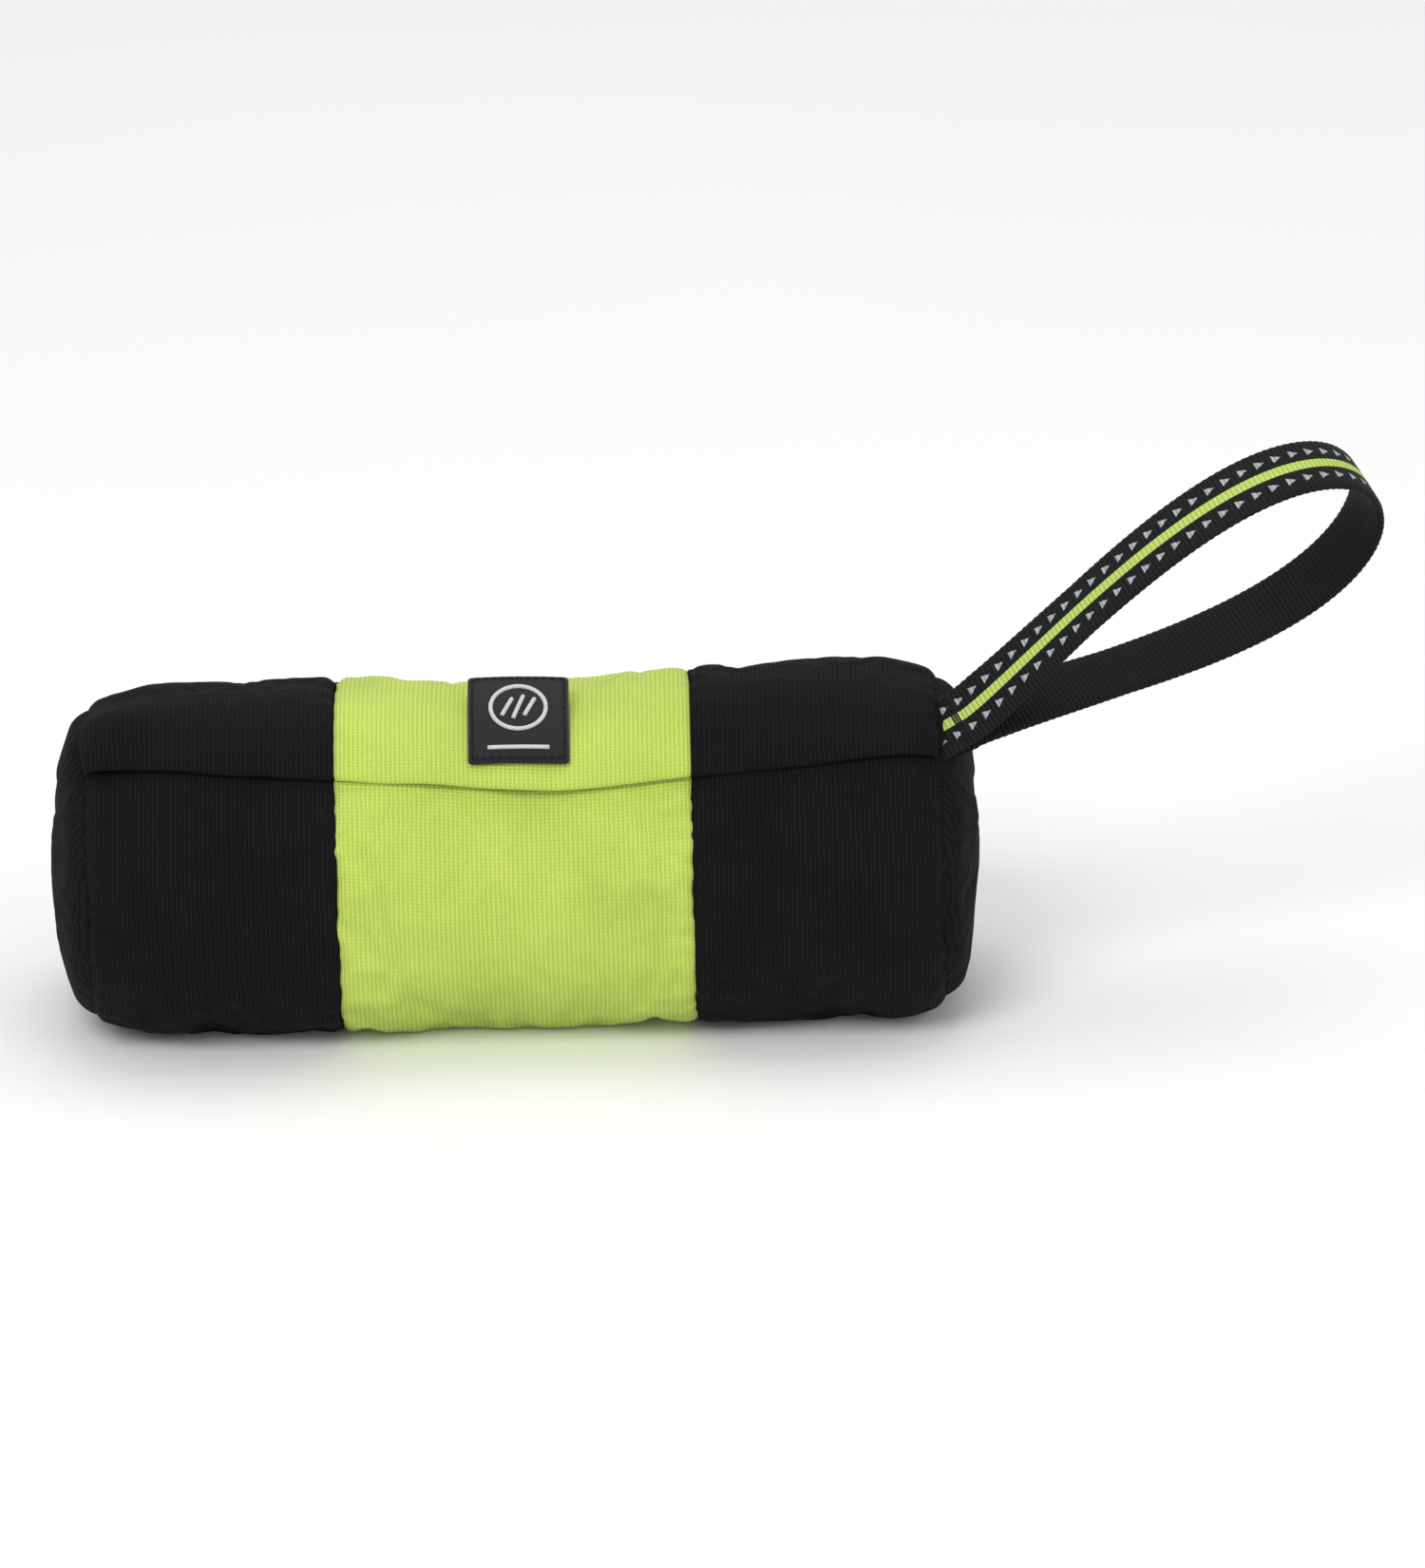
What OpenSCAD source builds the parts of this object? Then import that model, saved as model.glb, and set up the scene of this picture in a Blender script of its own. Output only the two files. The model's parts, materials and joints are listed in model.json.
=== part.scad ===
// Stuffed dog-training bumper: a sewn, colour-blocked tube with a flap over a
// lengthwise zip, a stuffing bag inside and a webbing hand loop at one end.
// X runs along the bumper, the flap faces -Y, and the base rests on Z = 0.

/* [Body] */
// Length over the two bulged end panels
body_len = 200; // [170:1:240]
// Radius of the rounded top, which is half the body's depth
top_r = 36; // [30:0.6:43.2]
// Height of the top radius centre above the base
top_centre_z = 38; // [34:0.5:46]
// Radius of the two long bottom edges
edge_r = 25; // [20:0.5:30]
// How far each end panel bulges out
end_bulge = 7; // [5:0.5:9]
// Thickness of the cover fabric with its backing
cover_t = 1.2; // [0.8:0.08:1.84]
// Width of the centre colour band
band_w = 77; // [60:1:92]

/* [Flap and label] */
// Angle round the top radius that the flap covers
flap_deg = 48; // [44:1:54]
// Thickness of the flap's outer fabric
flap_t = 1; // [0.6:0.1:1.4]
// Thickness of the flap's lining
lining_t = 0.6; // [0.4:0.1:0.8]
// Gap between the flap and the front panel under it
flap_gap = 0.4; // [0.3:0.1:1]
// Distance from each bulged end to the flap's end
flap_end_gap = 9.5; // [9:0.5:14]
// Label width along the bumper
label_w = 22; // [16:1:30]
// Label height round the flap
label_h = 24; // [16:1:25]
// Label thickness
label_t = 1; // [0.8:0.1:1.4]

/* [Zip] */
// Depth of the zip below the top radius
zip_depth = 7.6; // [7.2:0.1:9]
// Angle from the crown to the zip's centre line
zip_deg = 21; // [18:1:24]
// Thickness of the zip tape
tape_t = 0.6; // [0.4:0.1:0.7]
// Width of the closed coil chain
chain_w = 5.8; // [5:0.1:6]
// Height of the coil above the tape
coil_h = 1.6; // [1.2:0.1:1.8]
// Distance from each bulged end to the end of the zip tape
zip_end_gap = 17; // [16:1:24]
// Slider length along the zip
slider_len = 12; // [10:0.5:14]
// Slider width
slider_w = 9; // [8.4:0.1:10]
// Thickness of each slider plate
plate_t = 0.9; // [0.7:0.1:1]
// Length of the pull tab
pull_len = 15; // [12:1:16]
// Width of the pull tab
pull_w = 5; // [4:0.5:6]
// Thickness of the pull tab
pull_t = 1; // [0.8:0.1:1.2]

/* [Hand loop] */
// Webbing width
web_w = 15; // [12:1:20]
// Webbing thickness
web_t = 1.6; // [1.2:0.1:2]
// Length of the loop from its root to its far end
loop_len = 100; // [80:1:130]
// Half of the loop's greatest width
loop_half_w = 22; // [16:1:28]

/* [Fits] */
// Clearance between pieces that move past each other
run_gap = 0.4; // [0.3:0.05:0.6]
// Clearance between the inner bag and the cover
bag_gap = 0.3; // [0.2:0.1:1]

/* [Hidden] */
$fn = 96;

far = 400;
flap_total = flap_t + lining_t;
front_r = top_r - flap_total - flap_gap;
mid_z = (top_centre_z + top_r) / 2;
end_r = (top_r * top_r + end_bulge * end_bulge) / (2 * end_bulge);
end_x = body_len / 2 - end_r;
seam_lap = 2;
end_reach = 50;
pivot_gap = flap_total / 2 + run_gap;
hinge_deg = pivot_gap / top_r * 180 / PI;
flap_x = body_len / 2 - flap_end_gap;
slot_start_deg = 1;
label_back_deg = 2;
label_sink = label_t / 4;

zip_r = top_r - zip_depth;
zip_x = body_len / 2 - zip_end_gap;
zip_centre = [0, -zip_r * sin(zip_deg), top_centre_z + zip_r * cos(zip_deg)];
upper_w = sqrt(pow(top_r - cover_t, 2) - zip_r * zip_r);
lower_w = sqrt(pow(front_r - cover_t, 2) - zip_r * zip_r);
stop_len = 2;
stop_x = zip_x - 2 * stop_len;
slider_x = stop_x - run_gap - slider_len / 2;
coil_w = chain_w / 2 - run_gap / 8;
plate_z = tape_t / 2 + coil_h + run_gap;
plate_low = -tape_t / 2 - run_gap - plate_t;
slider_top = plate_z + plate_t;
back_round_r = 0.95 * slider_w;
back_round_x = slider_len / 2 - 0.9 * slider_w;
pull_bar_over = 0.05;
pull_bar_r = pull_t / 2 + pull_bar_over;
pull_hole_r = 1.2;
bridge_t = 0.6;
bridge_h = 2 * run_gap + 2 * pull_bar_r + bridge_t;
bridge_r = 0.6;
bridge_l = 5;
web_r = 0.4;
web_len = 2;
half_split = web_r + run_gap;
bag_plane = plate_low - run_gap;
bag_t = 0.5;
bag_end = 8;
mouth_len = 60;
mouth_w = 6;
binding_w = 5;
binding_t = 0.8;
binding_gap = 0.05;

root_inset = 2;
root_rise = 3.4;
root = [body_len / 2 - root_inset, zip_centre[1], zip_centre[2] + root_rise];
loop_turn = [30.4, -26.6, 11.7];
root_in = 9;
root_gap = web_t + run_gap;
slot_len = root_in + 20;
loop_steps = 44;
loop_fullness = 1.42;
strand_gap = 0.1;

band_x = band_w / 2;

// Point on the rounded top at an angle from the crown towards the front
function on_top(deg, r) = [-r * sin(deg), top_centre_z + r * cos(deg)];

// Middle of the webbing round the loop, from one sewn end (0) to the other (360)
function loop_mid(a) = [
    loop_len * (1 - cos(a)) / 2,
    loop_half_w * loop_fullness * sin(a) * pow(sin(a / 2), 1.5)
        + sign(180 - a) * (web_t / 2 + strand_gap) * pow(cos(a / 2), 2)
];

// Point on one face of the webbing, with side 1 outside and -1 inside the loop
function loop_face(a, side) =
    let (before = loop_mid(max(a - 1, 0)))
    let (after = loop_mid(min(a + 1, 360)))
    let (run = (after - before) / norm(after - before))
    loop_mid(a) + side * web_t / 2 * [-run[1], run[0]];

module along_x(x0, x1) {
    translate([x0, 0, 0]) rotate([90, 0, 90]) linear_extrude(x1 - x0) children();
}

// Cross-section of the body, drawn in Y and Z and set in by d
module section(d) {
    intersection() {
        translate([0, top_centre_z]) circle(top_r - d);
        translate([0, top_centre_z]) square(top_r);
    }
    intersection() {
        translate([0, top_centre_z]) circle(front_r - d);
        translate([-front_r, top_centre_z]) square(front_r);
    }
    translate([-(front_r - edge_r), d]) square([front_r + top_r - 2 * edge_r, top_centre_z - d]);
    translate([-(front_r - d), edge_r]) square([front_r + top_r - 2 * d, top_centre_z - edge_r]);
    translate([-(front_r - edge_r), edge_r]) circle(edge_r - d);
    translate([top_r - edge_r, edge_r]) circle(edge_r - d);
}

// Ball whose surface is one end's bulge, set in by d
module end_ball(side, d) {
    translate([side * end_x, 0, mid_z]) sphere(end_r - d, $fn = 128);
}

// All that lies beyond one end's bulge
module beyond_end(side, d) {
    difference() {
        translate([side * (body_len / 2 - end_reach) - (side > 0 ? 0 : far), -far / 2, -far / 2])
            cube(far);
        end_ball(side, d);
    }
}

// Wedge of the rounded top between two angles, drawn in Y and Z
module wedge(deg0, deg1) {
    polygon([[0, top_centre_z], on_top(deg0, 2 * top_r), on_top(deg1, 2 * top_r)]);
}

// Sheet that follows the rounded top, drawn in Y and Z
module top_arc(r_in, r_out, deg0, deg1) {
    intersection() {
        difference() {
            translate([0, top_centre_z]) circle(r_out);
            translate([0, top_centre_z]) circle(r_in);
        }
        wedge(deg0, deg1);
    }
}

module wrap_panel(x0, x1) {
    difference() {
        along_x(x0, x1) difference() {
            section(0);
            section(cover_t);
        }
        along_x(-far, far) wedge(0, flap_deg - seam_lap);
        along_x(-far, far) top_arc(front_r, 2 * top_r, -hinge_deg, slot_start_deg);
        if (x0 < -band_x) beyond_end(-1, cover_t);
        if (x1 > band_x) beyond_end(1, cover_t);
    }
}

module left_wrap_panel() {
    color([0.1, 0.1, 0.12]) wrap_panel(-body_len / 2, -band_x);
}

module centre_wrap_panel() {
    color([0.74, 0.85, 0.33]) wrap_panel(-band_x, band_x);
}

module right_wrap_panel() {
    color([0.1, 0.1, 0.12]) wrap_panel(band_x, body_len / 2);
}

module end_panel(side) {
    color([0.11, 0.11, 0.13]) difference() {
        intersection() {
            along_x(side > 0 ? 0 : -body_len / 2, side > 0 ? body_len / 2 : 0) section(0);
            end_ball(side, 0);
        }
        end_ball(side, cover_t);
    }
}

module left_end_panel() {
    end_panel(-1);
}

module right_end_panel() {
    difference() {
        end_panel(1);
        strap_slot();
    }
}

// Tape that binds the raw edges inside an end seam
module seam_binding(side) {
    x_in = zip_x + run_gap;
    color([0.2, 0.2, 0.22]) difference() {
        along_x(side > 0 ? x_in : -x_in - binding_w, side > 0 ? x_in + binding_w : -x_in)
            difference() {
                section(cover_t + binding_gap);
                section(cover_t + binding_t);
                wedge(0, flap_deg);
            }
        strap_slot();
    }
}

module left_seam_binding() {
    seam_binding(-1);
}

module right_seam_binding() {
    seam_binding(1);
}

// Room for the stuffing, under the zip and inside the end seams
module filling(d) {
    difference() {
        along_x(-body_len / 2, body_len / 2) section(cover_t + binding_t + bag_gap + d);
        beyond_end(1, cover_t + bag_end + d);
        beyond_end(-1, cover_t + bag_end + d);
        at_zip() translate([-far / 2, -far / 2, bag_plane - d]) cube(far);
    }
}

module inner_bag() {
    color([0.41, 0.41, 0.43]) difference() {
        filling(0);
        filling(bag_t);
        at_zip() translate([-mouth_len / 2, -mouth_w / 2, bag_plane - 2 * bag_t])
            cube([mouth_len, mouth_w, 4 * bag_t]);
    }
}

module stuffing_core() {
    color([0.93, 0.93, 0.9]) filling(bag_t);
}

module flap_strip(x0, x1) {
    along_x(x0, x1) top_arc(top_r - flap_t, top_r, hinge_deg, flap_deg);
}

module left_flap_panel() {
    color([0.1, 0.1, 0.12]) flap_strip(-flap_x, -band_x);
}

module centre_flap_panel() {
    color([0.74, 0.85, 0.33]) flap_strip(-band_x, band_x);
}

module right_flap_panel() {
    color([0.1, 0.1, 0.12]) flap_strip(band_x, flap_x);
}

module flap_lining() {
    color([0.25, 0.25, 0.27])
        along_x(-flap_x, flap_x) top_arc(top_r - flap_total, top_r - flap_t, hinge_deg, flap_deg);
}

module woven_label() {
    mid_deg = (flap_deg + hinge_deg) / 2 - label_back_deg;
    color([0.08, 0.08, 0.09]) difference() {
        translate([0, 0, top_centre_z]) rotate([mid_deg, 0, 0])
            translate([-label_w / 2, -label_h / 2, top_r - label_sink])
                cube([label_w, label_h, label_t]);
        along_x(-label_w, label_w) translate([0, top_centre_z]) circle(top_r);
    }
}

// Local frame of the zip: Z points out of the body and Y up towards the crown
module at_zip() {
    translate(zip_centre) rotate([zip_deg, 0, 0]) children();
}

module zip_tape(side, w) {
    color([0.09, 0.09, 0.1]) intersection() {
        at_zip() translate([-zip_x, side > 0 ? half_split : -w, -tape_t / 2])
            cube([2 * zip_x, w - half_split, tape_t]);
        along_x(-zip_x, zip_x) section(cover_t);
    }
}

module zip_tape_upper() {
    zip_tape(1, upper_w);
}

module zip_tape_lower() {
    zip_tape(-1, lower_w);
}

module zip_coil(side) {
    color([0.13, 0.13, 0.14]) at_zip()
        translate([-stop_x, side > 0 ? half_split : -coil_w, tape_t / 2])
            cube([2 * stop_x, coil_w - half_split, coil_h]);
}

module zip_coil_upper() {
    zip_coil(1);
}

module zip_coil_lower() {
    zip_coil(-1);
}

module zip_top_stops() {
    color("silver") at_zip() for (side = [-1, 1])
        translate([stop_x, side > 0 ? half_split : -coil_w, tape_t / 2])
            cube([stop_len, coil_w - half_split, coil_h]);
}

module zip_bottom_stop() {
    color("silver") at_zip()
        translate([-stop_x - stop_len, -coil_w, tape_t / 2]) cube([stop_len, 2 * coil_w, coil_h]);
}

// One slider plate, with its back corners rounded off
module slider_plate() {
    intersection() {
        translate([-slider_len / 2, -slider_w / 2, 0]) cube([slider_len, slider_w, plate_t]);
        translate([back_round_x, 0, -plate_t]) cylinder(r = back_round_r, h = 3 * plate_t);
    }
}

module zip_slider() {
    color("dimgray") at_zip() translate([slider_x, 0, 0]) {
        translate([0, 0, plate_z]) slider_plate();
        translate([0, 0, plate_low]) slider_plate();
        translate([slider_len / 2 - web_len, -web_r, plate_low])
            cube([web_len, 2 * web_r, slider_top - plate_low]);
        for (y = [-slider_w / 2, coil_w + run_gap])
            translate([-slider_len / 2, y, plate_z - coil_h / 2])
                cube([slider_len, slider_w / 2 - coil_w - run_gap, coil_h / 2]);
        for (x = [-bridge_l / 2, bridge_l / 2 - 2 * bridge_r])
            translate([x, -bridge_r, slider_top]) cube([2 * bridge_r, 2 * bridge_r, bridge_h]);
        translate([-bridge_l / 2, -bridge_r, slider_top + bridge_h - bridge_t])
            cube([bridge_l, 2 * bridge_r, bridge_t]);
    }
}

module zip_pull() {
    eye_w = 2 * bridge_r + 4 * run_gap;
    eye_len = bridge_l / 2 + run_gap - pull_bar_r;
    color("dimgray") at_zip() translate([slider_x, 0, slider_top + run_gap + pull_bar_r]) {
        rotate([90, 0, 0]) cylinder(r = pull_bar_r, h = pull_w, center = true);
        difference() {
            union() {
                translate([-pull_len, -pull_w / 2, -pull_t / 2]) cube([pull_len, pull_w, pull_t]);
                translate([-pull_len, 0, -pull_t / 2]) cylinder(r = pull_w / 2, h = pull_t);
            }
            translate([-pull_bar_r - eye_len, -eye_w / 2, -pull_t])
                cube([eye_len + pull_bar_r, eye_w, 2 * pull_t]);
            translate([-pull_len, 0, -pull_t]) cylinder(r = pull_hole_r, h = 2 * pull_t);
        }
    }
}

// Local frame of the hand loop: X towards its far end, Y across the webbing
module at_loop() {
    translate(root) rotate(loop_turn) children();
}

// Passage through the end seam for the two sewn-in strap ends
module strap_slot() {
    at_loop() translate([-slot_len, -web_w / 2 - bag_gap, -web_t - bag_gap])
        cube([slot_len, web_w + 2 * bag_gap, 2 * (web_t + bag_gap)]);
}

module strap_root() {
    color([0.1, 0.1, 0.11]) at_loop()
        translate([-root_in, -web_w / 2, -web_t]) cube([root_in - root_gap, web_w, 2 * web_t]);
}

module hand_loop() {
    outer = [for (i = [0 : loop_steps]) loop_face(360 * i / loop_steps, 1)];
    inner = [for (i = [loop_steps : -1 : 0]) loop_face(360 * i / loop_steps, -1)];
    color([0.12, 0.12, 0.13]) at_loop() rotate([90, 0, 0])
        linear_extrude(web_w, center = true) polygon(concat(outer, inner));
}

stuffing_core();
inner_bag();
left_wrap_panel();
centre_wrap_panel();
right_wrap_panel();
left_end_panel();
right_end_panel();
left_seam_binding();
right_seam_binding();
left_flap_panel();
centre_flap_panel();
right_flap_panel();
flap_lining();
woven_label();
zip_tape_upper();
zip_tape_lower();
zip_coil_upper();
zip_coil_lower();
zip_top_stops();
zip_bottom_stop();
zip_slider();
zip_pull();
strap_root();
hand_loop();
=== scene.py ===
# A stuffed, colour-blocked training bumper: simulated cover panels, a flap over a zip,
# a woven label and a webbing hand loop. Sizes in the helpers are in millimetres.
import json
import math

import bmesh
import bpy
import numpy as np
from mathutils import Matrix, Vector, noise


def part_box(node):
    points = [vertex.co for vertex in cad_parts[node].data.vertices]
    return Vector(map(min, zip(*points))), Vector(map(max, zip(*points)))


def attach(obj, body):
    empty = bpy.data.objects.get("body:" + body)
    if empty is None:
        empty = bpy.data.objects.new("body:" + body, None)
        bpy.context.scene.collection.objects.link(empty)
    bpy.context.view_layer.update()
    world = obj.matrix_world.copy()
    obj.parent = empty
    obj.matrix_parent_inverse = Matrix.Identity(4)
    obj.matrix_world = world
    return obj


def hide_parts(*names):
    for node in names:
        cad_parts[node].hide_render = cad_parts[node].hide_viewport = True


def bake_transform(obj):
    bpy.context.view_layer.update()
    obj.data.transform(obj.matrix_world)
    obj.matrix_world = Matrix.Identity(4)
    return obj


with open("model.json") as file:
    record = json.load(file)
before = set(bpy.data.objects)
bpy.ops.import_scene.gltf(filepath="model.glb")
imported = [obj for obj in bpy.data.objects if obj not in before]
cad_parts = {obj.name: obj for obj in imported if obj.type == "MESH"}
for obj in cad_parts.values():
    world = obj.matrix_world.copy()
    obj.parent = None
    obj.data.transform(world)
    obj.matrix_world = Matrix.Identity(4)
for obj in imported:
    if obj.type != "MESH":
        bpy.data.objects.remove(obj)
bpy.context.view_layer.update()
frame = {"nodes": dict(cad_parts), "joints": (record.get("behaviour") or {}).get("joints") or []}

MM = 0.001

# ---------------------------------------------------------------- sizes


def corner(node, high, axis):
    """One coordinate of a CAD node's box, in millimetres."""
    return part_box(node)[1 if high else 0][axis] / MM


# Radii of the crown's back and front, the height, and half lengths along X, all from the CAD boxes.
TOP_R = corner("centre_wrap_panel", True, 1)
HEIGHT = corner("centre_wrap_panel", True, 2)
FRONT_R = -corner("centre_wrap_panel", False, 1)
BAND_X = corner("centre_wrap_panel", True, 0)
HALF_LEN = corner("right_end_panel", True, 0)
FLAP_X = corner("flap_lining", True, 0)
ZIP_X = corner("zip_tape_upper", True, 0)
CHAIN_X = corner("zip_coil_upper", True, 0)
CENTRE_Z = HEIGHT - TOP_R
# Rounding of the body's lower edges, and how far the end panels bulge past their seams.
EDGE_R = 25.0
END_BULGE = 7.0
SEAM_X = HALF_LEN - END_BULGE
# The zip's angle from the crown and its depth under it.
ZIP_DEG = 21.0
ZIP_DEPTH = 7.6
ZIP_R = TOP_R - ZIP_DEPTH
# The webbing, and the thickness of the cover's cloth and of the lined flap's.
WEB_W = 15.0
WEB_T = 1.6
CLOTH_T = 1.0
FLAP_T = 1.5

# The way across the zip to the crown, the way out of it, and its middle line, as (y, z).
ZIP_UP = np.array([math.cos(math.radians(ZIP_DEG)), math.sin(math.radians(ZIP_DEG))])
ZIP_OUT = np.array([-ZIP_UP[1], ZIP_UP[0]])
ZIP_MID = np.array([-ZIP_R * math.sin(math.radians(ZIP_DEG)),
                    CENTRE_Z + ZIP_R * math.cos(math.radians(ZIP_DEG))])

# ---------------------------------------------------------------- mesh helpers


def grid_faces(n, m, start=0):
    """Quads of an n by m grid of points."""
    corners = [start + i * m + j for i in range(n - 1) for j in range(m - 1)]
    return [(a, a + 1, a + m + 1, a + m) for a in corners]


def ring_faces(n, m):
    """Quads between n rings of m points."""
    return [(i * m + j, i * m + (j + 1) % m, (i + 1) * m + (j + 1) % m, (i + 1) * m + j)
            for i in range(n - 1) for j in range(m)]


def closed_faces(n, m):
    """Faces of n rings of m points, closed by two poles that follow them in the list of points."""
    faces = [(i * m + j, (i + 1) * m + j, (i + 1) * m + (j + 1) % m, i * m + (j + 1) % m)
             for i in range(n - 1) for j in range(m)]
    first, last = n * m, n * m + 1
    faces += [(first, j, (j + 1) % m) for j in range(m)]
    faces += [(last, (n - 1) * m + (j + 1) % m, (n - 1) * m + j) for j in range(m)]
    return faces


def new_object(name, points, faces, weave=None):
    """Mesh object from points in millimetres, with its weave coordinates in millimetres."""
    mesh = bpy.data.meshes.new(name)
    mesh.from_pydata((np.asarray(points) * MM).tolist(), [], faces)
    mesh.update()
    mesh.polygons.foreach_set("use_smooth", [True] * len(mesh.polygons))
    if weave is not None:
        layer = mesh.attributes.new("weave", "FLOAT_VECTOR", "POINT")
        layer.data.foreach_set("vector", np.asarray(weave, np.float32).ravel())
    obj = bpy.data.objects.new(name, mesh)
    bpy.context.scene.collection.objects.link(obj)
    return obj


def bake_modifiers(obj):
    """Applies the object's modifiers to its mesh."""
    graph = bpy.context.evaluated_depsgraph_get()
    mesh = bpy.data.meshes.new_from_object(obj.evaluated_get(graph))
    obj.modifiers.clear()
    obj.data = mesh
    return obj


def smooth_out(obj, levels=1):
    """Subdivides a mesh and rounds it off."""
    sub = obj.modifiers.new("smooth", "SUBSURF")
    sub.levels = levels
    sub.render_levels = levels
    return bake_modifiers(obj)


def unit(v):
    """Vectors scaled to a length of one."""
    return v / np.maximum(np.linalg.norm(v, axis=-1, keepdims=True), 1e-9)


def grid_normals(p):
    """Normals of a grid of points, pointing to the side of d/di x d/dj."""
    return unit(np.cross(np.gradient(p, axis=0), np.gradient(p, axis=1)))


def shell(name, outer, thickness, weave, normals=None, levels=1):
    """Closed cloth of a given thickness whose outer face is a grid of points."""
    n, m = outer.shape[:2]
    normals = grid_normals(outer) if normals is None else normals
    inner = outer - normals * thickness
    points = np.concatenate([outer.reshape(-1, 3), inner.reshape(-1, 3)])
    count = n * m
    faces = grid_faces(n, m)
    faces += [tuple(reversed(f)) for f in grid_faces(n, m, count)]
    rim = [i * m for i in range(n)] + [(n - 1) * m + j for j in range(1, m)]
    rim += [i * m + m - 1 for i in range(n - 2, -1, -1)] + [j for j in range(m - 2, 0, -1)]
    for a, b in zip(rim, rim[1:] + rim[:1]):
        faces.append((b, a, a + count, b + count))
    sides = np.concatenate([np.ones(count), -np.ones(count)])
    coords = np.concatenate([weave.reshape(-1, 2), weave.reshape(-1, 2)])
    obj = new_object(name, points, faces, np.column_stack([coords, sides]))
    fix_normals(obj)
    return smooth_out(obj, levels) if levels else obj


def fix_normals(obj):
    """Makes every face of a closed mesh point outwards."""
    bm = bmesh.new()
    bm.from_mesh(obj.data)
    bmesh.ops.recalc_face_normals(bm, faces=bm.faces)
    bm.to_mesh(obj.data)
    bm.free()


def resample(path, count):
    """Points at equal steps along a polyline."""
    path = np.asarray(path, float)
    along = np.concatenate([[0], np.cumsum(np.linalg.norm(np.diff(path, axis=0), axis=1))])
    at = np.linspace(0, along[-1], count)
    return np.column_stack([np.interp(at, along, path[:, k]) for k in range(path.shape[1])])


def wobble(points, size, seed):
    """Smooth noise from -1 to 1 at each point, with features of the given size."""
    flat = np.asarray(points).reshape(-1, 3) / size + seed
    return np.array([noise.noise(Vector(p)) for p in flat]).reshape(np.asarray(points).shape[:-1])


def arc(cy, cz, r, deg0, deg1, steps=24):
    """Points round a circle, from the +Y axis towards +Z."""
    a = np.radians(np.linspace(deg0, deg1, steps))
    return np.column_stack([cy + r * np.cos(a), cz + r * np.sin(a)])


# ---------------------------------------------------------------- body shape

# Points round a section (outside, then along the recess), rings in an end panel, columns in each panel.
FRONT_ROWS = 88
RECESS_ROWS = 18
CAP_RINGS = 12
SIDE_COLUMNS = 24
CENTRE_COLUMNS = 33
# The seam's angle behind the crown, and the rows held firmly at each side of the recess.
BACK_SEAM_DEG = 62.0
HELD_ROWS = 2
# The height at which the fill starts to raise the body, and the span over which it does so fully.
RISE_FROM = 30
RISE_SPAN = 44
# How far the front runs up under the flap's edge, and the angle from the crown that it always reaches.
TUCK_DEG = 3
FRONT_TOP_DEG = 46


def flap_edge_deg(x):
    """Angle from the crown to the flap's edge, which sags lowest under the label."""
    return 48.5 - 0.0012 * (x - 12) ** 2 + 2.0 * np.exp(-((x - 5) / 17) ** 2)


def end_inset(x):
    """How far the body draws in towards each end seam: further and longer at the left."""
    left = np.clip(1 - (x + SEAM_X) / 24, 0, 1) ** 2.6
    right = np.clip(1 - (SEAM_X - x) / 17, 0, 1) ** 2.6
    return 4.6 * left + 4.0 * right


def crown_rise(x):
    """Height that the fill adds to the top: fuller at the loop end, slack in the middle."""
    return 0.013 * x - 1.9 * np.exp(-((x - 14) / 26) ** 2) + 0.5


def section(x):
    """Outline of the body at x: down the front, under, up the back, over, and along the zip."""
    front_deg = 90 + min(float(flap_edge_deg(x)) - TUCK_DEG, FRONT_TOP_DEG)
    outside = np.concatenate([
        arc(0, CENTRE_Z, FRONT_R, front_deg, 180),
        arc(EDGE_R - FRONT_R, EDGE_R, EDGE_R, 180, 270),
        arc(TOP_R - EDGE_R, EDGE_R, EDGE_R, 270, 360),
        arc(0, CENTRE_Z, TOP_R, 0, 90, 40),
    ])
    fold, chain_half, upper_tape, lower_tape = 1.8, 3, 13.4, 15.2
    recess = [
        (0, HEIGHT), (fold, HEIGHT - fold), ZIP_MID + ZIP_UP * upper_tape, ZIP_MID + ZIP_UP * chain_half,
        ZIP_MID - ZIP_UP * chain_half, ZIP_MID - ZIP_UP * lower_tape, outside[0],
    ]
    path = np.concatenate([resample(outside, FRONT_ROWS), resample(recess, RECESS_ROWS)[1:-1]])
    centre = np.array([(TOP_R - FRONT_R) / 2, HEIGHT / 2])
    inset = float(end_inset(x))
    reach = np.linalg.norm(path - centre, axis=1, keepdims=True)
    path = path - (path - centre) / reach * inset
    path[:, 1] += float(crown_rise(x)) * np.clip((path[:, 1] - RISE_FROM) / RISE_SPAN, 0, 1)
    return path


columns = np.unique(np.round(np.concatenate([
    np.linspace(-SEAM_X, -BAND_X, SIDE_COLUMNS),
    np.linspace(-BAND_X, BAND_X, CENTRE_COLUMNS),
    np.linspace(BAND_X, SEAM_X, SIDE_COLUMNS),
]), 4))
tube = np.array([[(x, y, z) for y, z in section(x)] for x in columns])
COLS = tube.shape[0]


def shrunk_rings(edge):
    """Copies of an end's edge that shrink towards its middle, and each one's share of the edge."""
    middle = edge.mean(0)
    shares = [1 - k / (CAP_RINGS + 0.6) for k in range(1, CAP_RINGS + 1)]
    return np.array([middle + (edge - middle) * share for share in shares]), shares


def cap_rings(side):
    """Rings from the end seam in to the middle of a bulged end panel."""
    rings, shares = shrunk_rings(tube[-1] if side > 0 else tube[0])
    for ring, share in zip(rings, shares):
        ring[:, 0] = side * (SEAM_X + END_BULGE * (1 - share ** 3.6) ** 0.72)
    return rings


left_cap = cap_rings(-1)
right_cap = cap_rings(1)


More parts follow.
